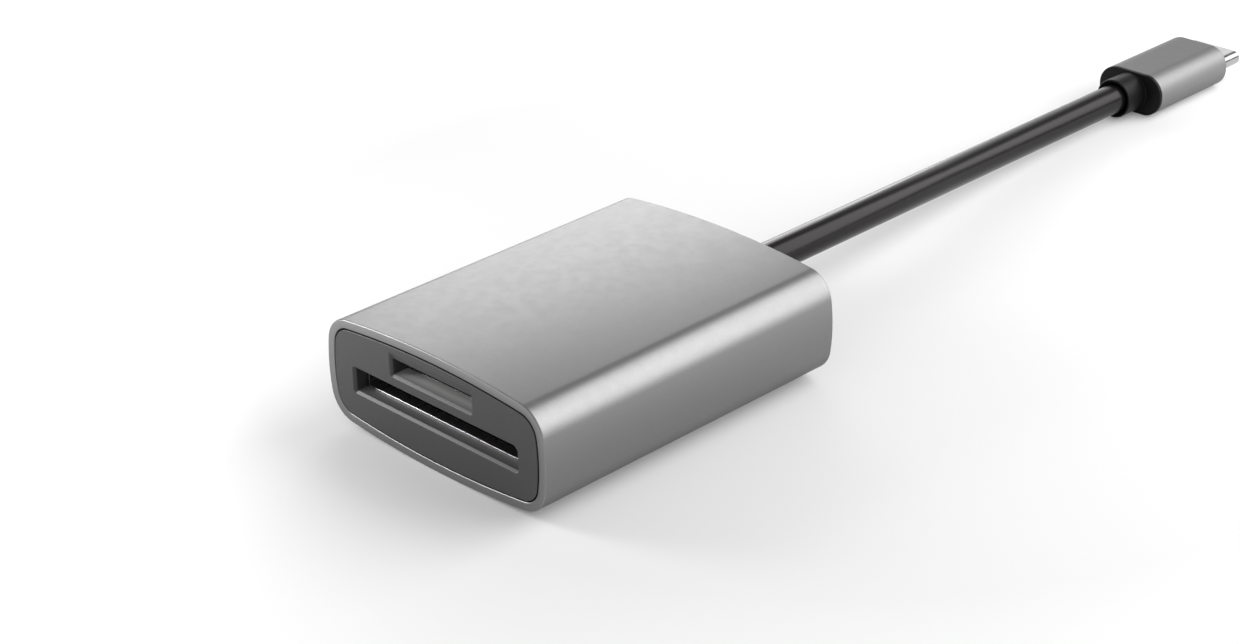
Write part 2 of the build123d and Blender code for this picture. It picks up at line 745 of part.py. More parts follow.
# Tongue insulator: fills the shell round a flat throat
with BuildPart() as tongue_insulator:
    with BuildSketch(across(tongue_back)):
        with Locations((plug_x, plug_z)):
            RectangleRounded(
                insulator_width, insulator_height, tongue_radius - tongue_wall - insulator_fit)
            Rectangle(throat_width, throat_height, mode=Mode.SUBTRACT)
    extrude(amount=-(tongue_tip - insulator_setback - tongue_back))
save(tongue_insulator, "tongue_insulator")

# Board in the plug, between the two rows of contacts
with BuildPart() as plug_board:
    with BuildSketch(across(tongue_back)):
        with Locations((plug_x, plug_z)):
            Rectangle(plug_board_width, plug_board_thickness)
    extrude(amount=plug_board_length)
save(plug_board, "plug_board")


def tongue_contacts(side):
    """One row of contacts, on the upper (1) or the lower (-1) wall of the throat."""
    tip = tongue_tip - tongue_contact_setback
    level = plug_z + side * (plug_board_thickness + tongue_contact_thickness) / 2
    with BuildPart() as contacts:
        for x in row(tongue_contact_count, tongue_contact_pitch):
            with BuildSketch(along(plug_x + x)):
                add(bent_strip(
                    [
                        (tongue_back - tongue_contact_overlap, level),
                        (tip - 2 * tongue_contact_slope, level),
                        (tip - tongue_contact_slope, level - side * tongue_contact_bump),
                        (tip, level),
                    ],
                    tongue_contact_thickness))
            extrude(amount=tongue_contact_width / 2, both=True)
    return contacts


tongue_contacts_upper = tongue_contacts(1)
save(tongue_contacts_upper, "tongue_contacts_upper")
tongue_contacts_lower = tongue_contacts(-1)
save(tongue_contacts_lower, "tongue_contacts_lower")

# Latches: a hooked spring along each side wall of the throat
with BuildPart() as tongue_latches:
    for side in (-1, 1):
        latch_x = plug_x + side * (throat_width - latch_thickness) / 2
        with BuildSketch(Plane.XY.offset(plug_z)):
            add(bent_strip(
                [
                    (latch_x, tongue_back),
                    (latch_x, tongue_back + latch_length),
                    (latch_x - side * latch_hook, tongue_back + latch_length + latch_slope),
                    (latch_x, tongue_back + latch_length + 2 * latch_slope),
                ],
                latch_thickness))
        extrude(amount=latch_width / 2, both=True)
save(tongue_latches, "tongue_latches")

# Cores in the plug: four short wires from the cable's end onto the plug's board
with BuildPart() as plug_cores:
    core_z = plug_board_thickness / 2 + plug_core_diameter / 2
    with BuildSketch(across(cavity_back)):
        with Locations((plug_x, plug_z)):
            with GridLocations(2 * plug_core_x, 2 * core_z, 2, 2):
                Circle(plug_core_diameter / 2)
    extrude(amount=-(plug_core_run + plug_core_overlap))
save(plug_cores, "plug_cores")
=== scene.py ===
# %% [markdown]
# # A memory card reader, step by step
# This lesson dresses a finished engineering model. The model arrives as a frame: every part is already at
# its real place and size, in metres, with the reader's width along X, its length along Y and its height
# along Z. The lesson adds smooth surfaces, finishes, light and a camera, and it never moves a part of the
# frame.

# %% Load the frame
from math import radians

import bmesh
import bpy
import numpy as np
from mathutils import Matrix, Quaternion, Vector


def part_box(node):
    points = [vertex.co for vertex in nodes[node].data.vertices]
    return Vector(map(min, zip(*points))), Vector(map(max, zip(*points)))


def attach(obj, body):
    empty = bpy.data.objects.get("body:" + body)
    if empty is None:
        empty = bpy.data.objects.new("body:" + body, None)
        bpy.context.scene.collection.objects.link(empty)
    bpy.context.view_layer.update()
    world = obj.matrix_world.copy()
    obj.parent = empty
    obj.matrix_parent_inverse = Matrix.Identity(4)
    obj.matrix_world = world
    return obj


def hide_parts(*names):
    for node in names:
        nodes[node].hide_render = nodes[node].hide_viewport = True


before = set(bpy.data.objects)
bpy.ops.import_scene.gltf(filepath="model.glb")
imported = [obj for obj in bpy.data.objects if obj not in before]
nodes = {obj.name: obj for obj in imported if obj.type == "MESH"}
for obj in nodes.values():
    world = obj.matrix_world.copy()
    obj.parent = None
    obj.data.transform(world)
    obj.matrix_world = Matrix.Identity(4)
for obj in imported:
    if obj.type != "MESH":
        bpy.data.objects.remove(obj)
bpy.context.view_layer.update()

MM = 0.001

# %% [markdown]
# ## The camera
# The viewpoint was found by fitting the reader's own straight edges to a picture of it. It could be set by
# eye with a tracking constraint, but a plain matrix keeps the slight roll of the picture. The camera looks
# along minus its third column, so the columns are the directions right, up and back.

# %% Place the camera
eye = np.array([190.131, -180.253, 140.727]) * MM
heading, height_angle, roll = np.radians([45.633, 26.587, -1.116])
picture_width = 1240
focal_pixels = 2672.4
sensor = 36.0

back = np.array([
    np.sin(heading) * np.cos(height_angle), -np.cos(heading) * np.cos(height_angle), np.sin(height_angle)])
level_right = np.cross((0, 0, 1), back)
level_right /= np.linalg.norm(level_right)
level_up = np.cross(back, level_right)
right = np.cos(roll) * level_right + np.sin(roll) * level_up
up = np.cos(roll) * level_up - np.sin(roll) * level_right

camera_data = bpy.data.cameras.new("picture_camera")
camera_data.sensor_fit = "HORIZONTAL"
camera_data.sensor_width = sensor
camera_data.lens = sensor * focal_pixels / picture_width
camera_data.clip_start = 0.01
camera = bpy.data.objects.new("picture_camera", camera_data)
pose = np.eye(4)
pose[:3] = np.column_stack([right, up, back, eye])
camera.matrix_world = Matrix(pose.tolist())
bpy.context.scene.collection.objects.link(camera)
bpy.context.scene.camera = camera
print("lens", round(camera_data.lens, 2), "mm")

# %% [markdown]
# ## The cable
# The cable is a short round lead. It leaves the back of the reader level, comes down as it goes, and lies
# flat where it enters the plug. A mesh tube could be swept along it, but a curve with a round bevel stays a
# true line, so its length can be measured. The four points are those of the engineering model, used as
# control points of a smooth spline of the third order.

# %% Lay the cable
cable_route = np.array([
    (0, 17.5, 7.0),
    (0, 44.0, 7.0),
    (-5.85, 86.0, 2.9),
    (-5.85, 112.8, 2.9),
]) * MM
cable_diameter = 4.0 * MM

cable_data = bpy.data.curves.new("cable_lead", "CURVE")
cable_data.dimensions = "3D"
cable_data.bevel_depth = 1.0
cable_data.bevel_resolution = 14
cable_data.resolution_u = 40
cable_data.use_fill_caps = True
spline = cable_data.splines.new("NURBS")
spline.points.add(len(cable_route) - 1)
spline.points.foreach_set("co", np.column_stack([cable_route, np.ones(len(cable_route))]).ravel())
spline.points.foreach_set("radius", np.full(len(cable_route), cable_diameter / 2))
spline.order_u = 3
spline.use_endpoint_u = True
cable = bpy.data.objects.new("cable_lead", cable_data)
bpy.context.scene.collection.objects.link(cable)

# %% [markdown]
# ## From arrays to meshes
# Most pieces of the reader are drawn or moulded: one outline, carried along a path, with the outline drawn
# in a little where an edge is rounded. So each piece is a stack of loops with the same number of points.
# Two neighbouring loops are joined by a band of four-sided faces, and the whole stack is worked out as
# arrays. The pieces could be drawn by hand with extrude and bevel, but arrays keep every size exact and
# named.


# %% Helpers for loops and meshes
def loop_at(outline, y, inset=0.0):
    """A closed loop across the reader at y: each outline point moved against its normal by inset."""
    points, normals = outline
    moved = points - inset * normals
    return np.column_stack([moved[:, 0], np.full(len(moved), y), moved[:, 1]])


def band_faces(loops, around, closed):
    """Four-sided faces between neighbouring loops, counted round.

    Point i of loop j joins point i of loop j+1, point i+1 of loop j+1 and point i+1 of loop j.
    """
    steps = loops if closed else loops - 1
    j, i = np.meshgrid(np.arange(steps), np.arange(around), indexing="ij")
    j_next = (j + 1) % loops
    i_next = (i + 1) % around
    corners = [j * around + i, j_next * around + i, j_next * around + i_next, j * around + i_next]
    return np.stack(corners, axis=-1).reshape(-1, 4)


def joined(*parts):
    """Several (vertices, faces) pairs as one, with the face numbers moved on."""
    starts = np.cumsum([0] + [len(vertices) for vertices, _ in parts[:-1]])
    vertices = np.concatenate([vertices for vertices, _ in parts])
    faces = np.concatenate([faces + start for (_, faces), start in zip(parts, starts)])
    return vertices, faces


def stacked(loops, closed=False):
    """A stack of equal loops as (vertices, faces)."""
    loops = np.array(loops)
    return loops.reshape(-1, 3), band_faces(loops.shape[0], loops.shape[1], closed)


merge_distance = 1e-8


def make_piece(name, surface, replaced, sharp=50.0, filled_at=()):
    """A smooth-shaded mesh object that rides with the reader and stands for parts of the frame.

    surface is a pair of vertices and faces. Equal points are merged, and the open edges that lie at one of
    the levels of y in filled_at are closed by a flat face. An edge that turns by more than sharp degrees
    keeps its crease.
    """
    mesh = bpy.data.meshes.new(name)
    mesh.from_pydata(surface[0], [], surface[1])
    shape = bmesh.new()
    shape.from_mesh(mesh)
    bmesh.ops.remove_doubles(shape, verts=shape.verts, dist=merge_distance)
    for level in filled_at:
        rims = [
            edge for edge in shape.edges
            if edge.is_boundary and all(abs(end.co.y - level) < merge_distance for end in edge.verts)]
        bmesh.ops.triangle_fill(shape, use_beauty=True, edges=rims)
    bmesh.ops.recalc_face_normals(shape, faces=shape.faces)
    shape.to_mesh(mesh)
    shape.free()
    mesh.shade_smooth()
    mesh.set_sharp_from_angle(angle=radians(sharp))
    piece = bpy.data.objects.new(name, mesh)
    bpy.context.scene.collection.objects.link(piece)
    weighted = piece.modifiers.new("even_shading", "WEIGHTED_NORMAL")
    weighted.keep_sharp = True
    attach(piece, "root")
    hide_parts(*replaced)
    print(name, "has", len(mesh.polygons), "faces")
    return piece


def rounded_end(y, inset, radius, toward, steps=5):
    """Stations of a quarter-round edge that ends in a face at y, as (y, inset) pairs from wall to face.

    The pair runs along a quarter circle: y goes on by sine and the inset grows by one minus cosine. toward
    is -1 for a front face and 1 for a rear face.
    """
    turn = np.linspace(0, np.pi / 2, steps)
    places = y - toward * radius * (1 - np.sin(turn))
    return np.column_stack([places, inset + radius * (1 - np.cos(turn))])


# %% [markdown]
# ## The sleeve
# The body is a length of aluminium extrusion, with a gently bowed top, bottom and sides and rounded
# corners. Every stretch of its outline is an arc, so the outline can be written as a function of the
# direction its surface faces: a point is the centre of its arc plus the radius along that direction.
# Drawing such an outline inwards keeps the directions, so the inner wall uses the same function. A cube
# with bevelled edges would be quicker, but its faces would stay flat. The wall's four edges are rounded by
# a hair, which is what makes the thin bright line round the mouth.

# %% Work out the reader's outline
sleeve_low, sleeve_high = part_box("sleeve")
body_width = sleeve_high.x - sleeve_low.x
body_height = sleeve_high.z - sleeve_low.z
front_y, rear_y = sleeve_low.y, sleeve_high.y
crown = 1.1 * MM
side_bow = 0.8 * MM
corner_radius = 3.6 * MM
wall = 1.05 * MM
seam = 0.15 * MM
edge_round = 0.15 * MM


def bow_radius(half_chord, rise):
    """Radius of an arc over a chord: half the chord squared plus the rise squared, over twice the rise."""
    return (half_chord ** 2 + rise ** 2) / (2 * rise)


def reader_outline(side_steps=10, corner_steps=20, top_steps=28):
    """Points and normals of the bowed outline, counted anticlockwise from the middle of the right side.

    The first quarter has three arcs: half the side, the corner, half the top. The corner's centre lies where
    two circles cross, each a corner radius smaller than the arc it belongs to. The other quarters are its
    reflections.
    """
    top_radius = bow_radius(body_width / 2 - side_bow, crown)
    side_radius = bow_radius(body_height / 2 - crown, side_bow)
    top_centre = np.array([0, body_height - top_radius])
    side_centre = np.array([body_width / 2 - side_radius, body_height / 2])
    reach_top = top_radius - corner_radius
    reach_side = side_radius - corner_radius
    between = side_centre - top_centre
    distance = np.linalg.norm(between)
    forward = (reach_top ** 2 - reach_side ** 2 + distance ** 2) / (2 * distance)
    sideways = np.sqrt(reach_top ** 2 - forward ** 2)
    unit = between / distance
    corner_centre = top_centre + forward * unit + sideways * np.array([unit[1], -unit[0]])
    side_end = np.arctan2(*(corner_centre - side_centre)[::-1])
    top_start = np.arctan2(*(corner_centre - top_centre)[::-1])
    arcs = (
        (side_centre, side_radius, np.linspace(0, side_end, side_steps)),
        (corner_centre, corner_radius, np.linspace(side_end, top_start, corner_steps)[1:]),
        (top_centre, top_radius, np.linspace(top_start, np.pi / 2, top_steps)[1:]),
    )
    facing = [np.column_stack([np.cos(angle), np.sin(angle)]) for _, _, angle in arcs]
    quarter = np.concatenate([centre + radius * way for (centre, radius, _), way in zip(arcs, facing)])
    quarter[:, 1] -= body_height / 2
    normals = np.concatenate(facing)
    signs = ((1, 1), (-1, 1), (-1, -1), (1, -1))
    order = (slice(None, -1), slice(None, 0, -1), slice(None, -1), slice(None, 0, -1))
    points = np.concatenate([quarter[part] * sign for part, sign in zip(order, signs)])
    directions = np.concatenate([normals[part] * sign for part, sign in zip(order, signs)])
    return points + (0, body_height / 2), directions


outline = reader_outline()
print("outline of", len(outline[0]), "points, width", round(np.ptp(outline[0][:, 0]) / MM, 2), "mm")

# %% Carry the outline along the sleeve
sleeve_stations = np.concatenate([
    rounded_end(front_y, 0, edge_round, -1)[::-1],
    rounded_end(rear_y, 0, edge_round, 1),
    (rounded_end(rear_y, 0, edge_round, 1) * (1, -1) + (0, wall))[::-1],
    rounded_end(front_y, 0, edge_round, -1) * (1, -1) + (0, wall),
])
sleeve = make_piece(
    "sleeve_extrusion",
    stacked([loop_at(outline, y, inset) for y, inset in sleeve_stations], closed=True),
    ["sleeve"])

# %% [markdown]
# ## The front bezel
# The bezel is a dark moulded plate, let in flush with the mouth of the sleeve behind a hairline seam. Two
# slots go through it, each with a sloping lead-in at the face. The rim and the slots are stacks of loops,
# as before. The flat face between them has two holes, which no grid of two parameters can give, so Blender
# fills that face between the loops' open edges.

# %% Helpers for the slots
def rounded_rectangle(centre, size, radius, steps):
    """Points and normals of a rounded rectangle, anticlockwise from its upper right corner.

    Each point is a corner's centre plus the radius along its normal, and the normal turns through a quarter
    circle at each corner.
    """
    quarter = np.linspace(0, np.pi / 2, steps)
    angles = np.concatenate([quarter + corner * np.pi / 2 for corner in range(4)])
    normals = np.column_stack([np.cos(angles), np.sin(angles)])
    signs = np.repeat([(1, 1), (-1, 1), (-1, -1), (1, -1)], steps, axis=0)
    return np.array(centre) + signs * (np.array(size) / 2 - radius) + radius * normals, normals


def softened(stations, cut):
    """Stations with each inner corner cut off: one point just before the corner and one just after it."""
    stations = np.array(stations)
    steps = np.diff(stations, axis=0)
    ways = steps / np.linalg.norm(steps, axis=1, keepdims=True)
    corners = stations[1:-1]
    pairs = np.stack([corners - cut * ways[:-1], corners + cut * ways[1:]], axis=1)
    return np.concatenate([stations[:1], pairs.reshape(-1, stations.shape[1]), stations[-1:]])


# %% Work out the two slots
bezel_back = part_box("front_bezel")[1].y
bezel_inset = wall + seam
edge_cut = 0.04 * MM
slot_corner = 0.15 * MM
slot_steps = 8
lead_in = 0.3 * MM
face_land = 0.1 * MM
large = {"middle": 0.0, "width": 25.6 * MM, "low": 5.05 * MM, "high": 7.75 * MM, "key": 0.5 * MM}
small = {"middle": -0.2 * MM, "width": 12.5 * MM, "low": 9.3 * MM, "high": 11.15 * MM, "key": 0.0}
small_bevel = 0.9 * MM
large_mouth = 1.65 * MM
print("slots", round(large["width"] / MM, 2), "and", round(small["width"] / MM, 2), "mm wide")


def slot_loop(slot, y, margin, rise):
    """A slot's loop at y: a rounded rectangle, wider by margin at sides and bottom and by rise at its top.

    Where the slot has a key, its upper right corner is a straight cut of that width.
    """
    low, high = slot["low"] - margin, slot["high"] + rise
    width = slot["width"] + 2 * margin
    centre = (slot["middle"], (low + high) / 2)
    points, _ = rounded_rectangle(centre, (width, high - low), slot_corner + max(margin, 0), slot_steps)
    if slot["key"]:
        side = centre[0] + width / 2
        cut_start, cut_end = (side, high - slot["key"]), (side - slot["key"], high)
        points[:slot_steps] = np.linspace(cut_start, cut_end, slot_steps)
    return np.column_stack([points[:, 0], np.full(len(points), y), points[:, 1]])


def slot_wall(slot, bevel, back):
    """The wall of a slot, from the face over the lead-in and through the throat to its back."""
    stations = softened([
        (front_y, lead_in + face_land, bevel + face_land),
        (front_y, lead_in, bevel),
        (front_y + lead_in, 0, 0),
        (back, 0, 0),
    ], edge_cut)
    return [slot_loop(slot, *station) for station in stations]


# %% Build the bezel
pocket = {"middle": 0.0, "width": 25.8 * MM, "low": 4.25 * MM, "high": 8.15 * MM, "key": 0.0}
large_wall = slot_wall(large, lead_in, front_y + large_mouth) + [
    slot_loop(pocket, front_y + large_mouth, 0, 0), slot_loop(pocket, bezel_back, 0, 0)]
small_wall = slot_wall(small, small_bevel, bezel_back)
rim_stations = softened([
    (front_y, bezel_inset + face_land), (front_y, bezel_inset), (bezel_back, bezel_inset)], edge_cut)
rim = [loop_at(outline, y, inset) for y, inset in rim_stations]
bezel = make_piece(
    "bezel_plate", joined(stacked(rim), stacked(large_wall), stacked(small_wall)),
    ["front_bezel"], sharp=40.0, filled_at=(front_y, bezel_back))

# %% [markdown]
# ## The rear cap and the grommet
# The other end is closed by a plain plate with one round hole. The grommet in it is a turned form: a flange
# inside, a neck through the hole and a short sleeve for the cable. Both are stacks of loops again. The
# plate goes from the reader's outline to the round hole, so its loops change from one outline to the other.
# A boolean could cut the hole, but it would leave thin faces that shade badly.

# %% Build the cap and the grommet
cap_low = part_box("rear_cap")[0]
grommet_low, grommet_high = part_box("cable_grommet")
cable_height = body_height / 2
grommet_neck = 2.7 * MM
grommet_bore = 2.05 * MM
grommet_round = 0.4 * MM
hole_play = 0.05 * MM


def round_loop(y, radius, centre, angles):
    """A circle across the reader at y, with one point for each angle."""
    return np.column_stack([
        centre[0] + radius * np.cos(angles), np.full(len(angles), y), centre[1] + radius * np.sin(angles)])


outline_angles = np.arctan2(outline[0][:, 1] - cable_height, outline[0][:, 0])
hole = grommet_neck + hole_play
cap_stations = rounded_end(rear_y, bezel_inset, edge_round, 1)
cap = make_piece(
    "rear_plate",
    stacked([
        round_loop(cap_low.y, hole, (0, cable_height), outline_angles),
        loop_at(outline, cap_low.y, bezel_inset),
        *[loop_at(outline, y, inset) for y, inset in cap_stations],
        round_loop(rear_y, hole, (0, cable_height), outline_angles),
    ], closed=True),
    ["rear_cap"], sharp=35.0)

turn = np.linspace(0, 2 * np.pi, 96, endpoint=False)
grommet_rim = (grommet_high.x - grommet_low.x) / 2
grommet_end = rounded_end(grommet_high.y, 0, grommet_round, 1)
grommet_profile = [
    (grommet_low.y, grommet_bore), (grommet_low.y, grommet_rim), (cap_low.y, grommet_rim),
    (cap_low.y, grommet_neck), *[(y, grommet_neck - inset) for y, inset in grommet_end],
    (grommet_high.y, grommet_bore)]
grommet = make_piece(
    "grommet_boot",
    stacked([round_loop(y, radius, (0, cable_height), turn) for y, radius in grommet_profile], closed=True),
    ["cable_grommet"], sharp=35.0)

# %% [markdown]
# ## The plug
# The plug's case is a short aluminium tube with broad round sides. A black strain relief closes its rear: a
# thin plate of the same outline, and a collar round the cable. At the front stands the bright oval tongue.
# A rounded rectangle is a quarter circle about each of four centres, so its points again follow from the
# direction they face.

# %% Build the plug's case, strain relief and tongue
case_low, case_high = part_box("plug_shell")
relief_low, relief_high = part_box("plug_strain_relief")
tongue_low, tongue_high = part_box("tongue_shell")
plug_centre = np.array([(case_low.x + case_high.x) / 2, (case_low.z + case_high.z) / 2])
plug_size = np.array([case_high.x - case_low.x, case_high.z - case_low.z])
plug_corner = 2.75 * MM
plug_wall = 0.6 * MM
plug_round = 0.25 * MM
plug_steps = 24


def tube(outline_of, rear, front, thickness, rear_round, front_round):
    """A tube: round its rear edge, along the outside, round its front edge and back along the inside."""
    stations = np.concatenate([
        rounded_end(rear, 0, rear_round, -1)[::-1],
        rounded_end(front, 0, front_round, 1),
        [(front, thickness), (rear, thickness)],
    ])
    return stacked([loop_at(outline_of, y, inset) for y, inset in stations], closed=True)


case_outline = rounded_rectangle(plug_centre, plug_size, plug_corner, plug_steps)
hairline = 0.05 * MM
case = make_piece(
    "plug_case", tube(case_outline, case_low.y, case_high.y, plug_wall, hairline, plug_round),
    ["plug_shell"])

# %% Build the strain relief
collar_radius = 2.7 * MM
collar_round = 0.15 * MM
collar_fillet = 0.08 * MM
flange_thickness = 0.5 * MM
flange_round = 0.1 * MM
countersink = 0.45 * MM
relief_bore = cable_diameter / 2 + hole_play
flange_y = relief_high.y - flange_thickness
flange_stations = [(relief_high.y, 0), *rounded_end(flange_y, 0, flange_round, -1)]
flange = [loop_at(case_outline, y, inset) for y, inset in flange_stations]
collar_profile = [
    (flange_y, collar_radius + collar_fillet),
    (flange_y - collar_fillet, collar_radius),
    *[(y, collar_radius - inset) for y, inset in rounded_end(relief_low.y, 0, collar_round, -1)],
    (relief_low.y, relief_bore + countersink),
    (relief_low.y + countersink, relief_bore),
    (relief_high.y, relief_bore),
]
collar = [round_loop(y, radius, plug_centre, turn) for y, radius in collar_profile]
relief = make_piece(
    "plug_collar", joined(stacked(flange), stacked(collar)), ["plug_strain_relief"],
    sharp=35.0, filled_at=(flange_y, relief_high.y))

# %% Build the tongue
tongue_size = np.array([tongue_high.x - tongue_low.x, tongue_high.z - tongue_low.z])
tongue_flat = 0.02 * MM
tongue_radius = tongue_size[1] / 2 - tongue_flat
tongue_wall = 0.25 * MM
tongue_round = 0.2 * MM
tongue_outline = rounded_rectangle(plug_centre, tongue_size, tongue_radius, plug_steps)
tongue = make_piece(
    "plug_tongue", tube(tongue_outline, tongue_low.y, tongue_high.y, tongue_wall, hairline, tongue_round),
    ["tongue_shell"])

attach(cable, "root")
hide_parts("cable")

# %% [markdown]
# ## Finishes
# Each finish is a small tree of nodes that reads the piece's own coordinates, in metres, so grains keep
# their real size. What is the same all over a surface is set on the shader itself, and only what varies is
# linked.


# %% Helpers for finishes
def new_finish(name, colour, roughness, metallic=0.0, **sockets):
    """A material whose shader holds the constant values. Socket names use underscores for spaces."""
    finish = bpy.data.materials.new(name)
    finish.use_nodes = True
    shader = finish.node_tree.nodes["Principled BSDF"]
    shader.inputs["Base Color"].default_value = (*colour, 1)
    shader.inputs["Roughness"].default_value = roughness
    shader.inputs["Metallic"].default_value = metallic
    for socket, value in sockets.items():
        shader.inputs[socket.replace("_", " ")].default_value = value
    return finish


def noise(finish, scale, detail=2.0, stretch=(1, 1, 1)):
    """Noise on the piece's own coordinates, stretched along the axes, as an output socket from 0 to 1."""
    tree = finish.node_tree
    place = tree.nodes.new("ShaderNodeTexCoord")
    mapping = tree.nodes.new("ShaderNodeMapping")
    mapping.inputs["Scale"].default_value = stretch
    pattern = tree.nodes.new("ShaderNodeTexNoise")
    pattern.inputs["Scale"].default_value = scale
    pattern.inputs["Detail"].default_value = detail
    tree.links.new(place.outputs["Object"], mapping.inputs["Vector"])
    tree.links.new(mapping.outputs["Vector"], pattern.inputs["Vector"])
    return pattern.outputs["Fac"]


pattern_low, pattern_high = 0.3, 0.7


def spread(tree, value, start, end, low, high):
    """An output that runs from low to high while a value runs from start to end, and stays level beyond."""
    node = tree.nodes.new("ShaderNodeMapRange")
    for socket, number in zip(("From Min", "From Max", "To Min", "To Max"), (start, end, low, high)):
        node.inputs[socket].default_value = number
    tree.links.new(value, node.inputs["Value"])
    return node.outputs["Result"]


def combined(tree, operation, first, second):
    """Two outputs joined by an operation, such as their product."""
    node = tree.nodes.new("ShaderNodeMath")
    node.operation = operation
    tree.links.new(first, node.inputs[0])
    tree.links.new(second, node.inputs[1])
    return node.outputs["Value"]


def compared(tree, operation, vector, fixed):
    """The value of an operation on a vector output and a fixed vector, such as their distance."""
    node = tree.nodes.new("ShaderNodeVectorMath")
    node.operation = operation
    node.inputs[1].default_value = fixed
    tree.links.new(vector, node.inputs[0])
    return node.outputs["Value"]


def vary(finish, pattern, socket, low, high):
    """Spreads a pattern's middle values between two numbers and links them to a socket of the shader."""
    tree = finish.node_tree
    amount = spread(tree, pattern, pattern_low, pattern_high, low, high)
    tree.links.new(amount, tree.nodes["Principled BSDF"].inputs[socket])


def tint(finish, pattern, dark, light):
    """Mixes two colours by a pattern's middle values."""
    tree = finish.node_tree
    ramp = tree.nodes.new("ShaderNodeValToRGB")
    ramp.color_ramp.elements[0].position = pattern_low
    ramp.color_ramp.elements[1].position = pattern_high
    ramp.color_ramp.elements[0].color = (*dark, 1)
    ramp.color_ramp.elements[1].color = (*light, 1)
    tree.links.new(pattern, ramp.inputs["Fac"])
    tree.links.new(ramp.outputs["Color"], tree.nodes["Principled BSDF"].inputs["Base Color"])


def paint_floor_light(finish, pale, amounts):
    """Painted light: a paler colour mixed into the base colour by the product of outputs from 0 to 1."""
    tree = finish.node_tree
    base = tree.nodes["Principled BSDF"].inputs["Base Color"]
    plain = base.links[0].from_socket
    amount = amounts[0]
    for other in amounts[1:]:
        amount = combined(tree, "MULTIPLY", amount, other)
    blend = tree.nodes.new("ShaderNodeMix")
    blend.data_type = "RGBA"
    blend.inputs["B"].default_value = (*pale, 1)
    tree.links.new(amount, blend.inputs["Factor"])
    tree.links.new(plain, blend.inputs["A"])
    tree.links.new(blend.outputs["Result"], base)


def ramp_along(finish, source, axis, start, end, low=0.0, high=1.0):
    """An output that runs from low to high while one component of a vector output runs from start to end."""
    tree = finish.node_tree
    parts = tree.nodes.new("ShaderNodeSeparateXYZ")
    tree.links.new(source, parts.inputs["Vector"])
    return spread(tree, parts.outputs[axis], start, end, low, high)


def emboss(finish, pattern, strength, depth):
    """Raises the surface's shading by a pattern, with a depth in metres."""
    tree = finish.node_tree
    bump = tree.nodes.new("ShaderNodeBump")
    bump.inputs["Strength"].default_value = strength
    bump.inputs["Distance"].default_value = depth
    tree.links.new(pattern, bump.inputs["Height"])
    tree.links.new(bump.outputs["Normal"], tree.nodes["Principled BSDF"].inputs["Normal"])


def dress(finish, *pieces):
    """Gives each piece the finish as its one material."""
    for piece in pieces:
        piece.data.materials.clear()
        piece.data.materials.append(finish)
    print(finish.name, "on", ", ".join(piece.name for piece in pieces))


# %% [markdown]
# ## Aluminium
# The sleeve and the plug's case are blasted with fine beads and then anodised grey. That leaves a silky
# metal with a grain of about a sixth of a millimetre. A picture of the grain could be wrapped round the
# metal, but noise in space needs no unwrapping and has no seam.


# %% Make the aluminium
grain_depth = 0.01 * MM


def blasted_aluminium(name, grey, roughness):
    """Anodised aluminium with a fine blasted grain: its grey and roughness vary by about a twentieth."""
    finish = new_finish(name, (grey,) * 3, roughness, metallic=1.0, Specular_Tint=(0.6, 0.6, 0.6, 1))
    blasting = noise(finish, 6000, detail=3)
    tint(finish, blasting, (0.96 * grey,) * 3, (1.04 * grey,) * 3)
    vary(finish, noise(finish, 900), "Roughness", 0.95 * roughness, 1.05 * roughness)
    emboss(finish, blasting, 0.15, grain_depth)
    return finish


dress(blasted_aluminium("sleeve_aluminium", 0.25, 0.39), sleeve)
dress(blasted_aluminium("plug_aluminium", 0.26, 0.5), case)

# %% [markdown]
# ## Plastics
# The bezel and the rear plate are a dark grey plastic, moulded in a tool with a fine spark texture. The
# floors of the slots carry painted light: a paler colour, brightest toward their back, stands in for the
# light that falls there. A second material could show that, but its border would be hard, so a paler
# colour is mixed in by the way that the surface faces and by its place. The cable's jacket is smoother
# than the moulded black plastic, which gives it a narrow shine.

# %% Make the plastics
bezel_grey = new_finish("bezel_grey", (0.044, 0.043, 0.044), 0.42)
spark = noise(bezel_grey, 4000, detail=4)
tint(bezel_grey, spark, (0.041, 0.04, 0.041), (0.047, 0.046, 0.047))
emboss(bezel_grey, spark, 0.2, grain_depth)
facing = bezel_grey.node_tree.nodes.new("ShaderNodeNewGeometry").outputs["Normal"]
place = bezel_grey.node_tree.nodes.new("ShaderNodeTexCoord").outputs["Object"]
# Painted light: where the slot floors face up they are made paler toward their back, most in the small slot.
painted_light_end = front_y + 2.2 * MM
paint_floor_light(bezel_grey, (0.45, 0.445, 0.44), [
    ramp_along(bezel_grey, facing, "Z", 0.9, 0.99),
    ramp_along(bezel_grey, place, "Y", front_y - 0.4 * MM, front_y + 1.2 * MM),
    ramp_along(bezel_grey, place, "Y", painted_light_end, painted_light_end + 0.05 * MM, low=1.0, high=0.0),
    ramp_along(bezel_grey, place, "Z", large["low"], small["low"], low=0.28),
    ramp_along(bezel_grey, place, "Z", small["low"], small["high"], low=1.0, high=0.0),
])
dress(bezel_grey, bezel, cap)

jacket_black = new_finish(
    "jacket_black", (0.005, 0.0042, 0.0042), 0.26, Specular_IOR_Level=0.22, Specular_Tint=(1, 0.93, 0.93, 1))
vary(jacket_black, noise(jacket_black, 300), "Roughness", 0.25, 0.27)
dress(jacket_black, cable)

moulded_black = new_finish("moulded_black", (0.005, 0.0046, 0.0046), 0.42, Specular_IOR_Level=0.14)
moulding = noise(moulded_black, 3500, detail=3)
vary(moulded_black, moulding, "Roughness", 0.38, 0.46)
emboss(moulded_black, moulding, 0.1, grain_depth)
mouldings = ("board_tray", "large_socket_base", "small_socket_base", "plug_mould", "tongue_insulator")
dress(moulded_black, grommet, relief, *[nodes[name] for name in mouldings])

